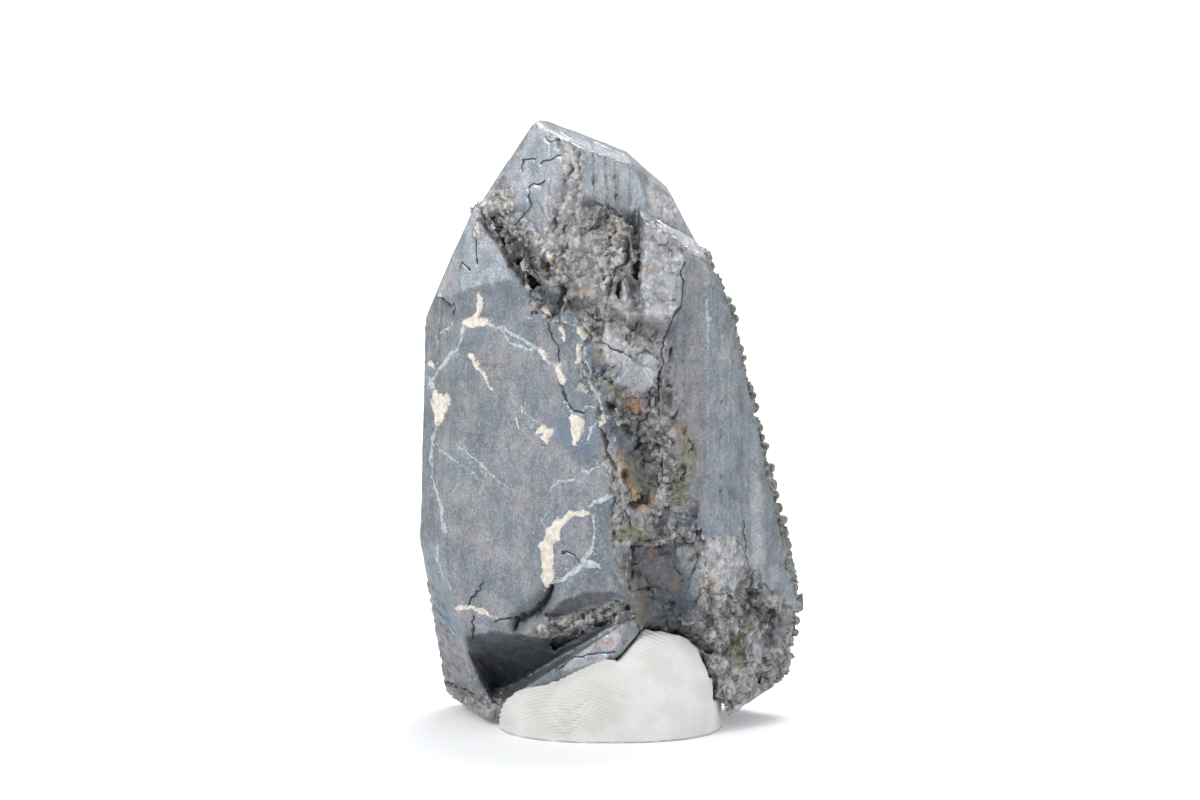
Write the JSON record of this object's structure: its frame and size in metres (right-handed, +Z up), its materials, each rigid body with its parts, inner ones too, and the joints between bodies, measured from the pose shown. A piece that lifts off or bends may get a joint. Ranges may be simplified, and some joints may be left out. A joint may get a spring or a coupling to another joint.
{
  "type": "ferberite crystal",
  "caption": "Dark submetallic prismatic mineral crystals grown together, with a wedge-shaped end, broken rubble and druse, standing in a wad of white putty.",
  "frame": {"origin": "centre of the bounding box's underside, on the surface that the putty stands on", "axes": "+Z up along the crystal, -Y towards the viewer of the broad faces, +X to the drusy side"},
  "size_m": [0.036, 0.0254, 0.0556],
  "materials": {
    "ferberite": "submetallic grey crystal faces, rough where broken",
    "putty": "matt white putty with fingertip ridges"
  },
  "bodies": {
    "root": {"ferberite_crystal": "ferberite", "mounting_putty": "putty"}
  },
  "joints": []
}
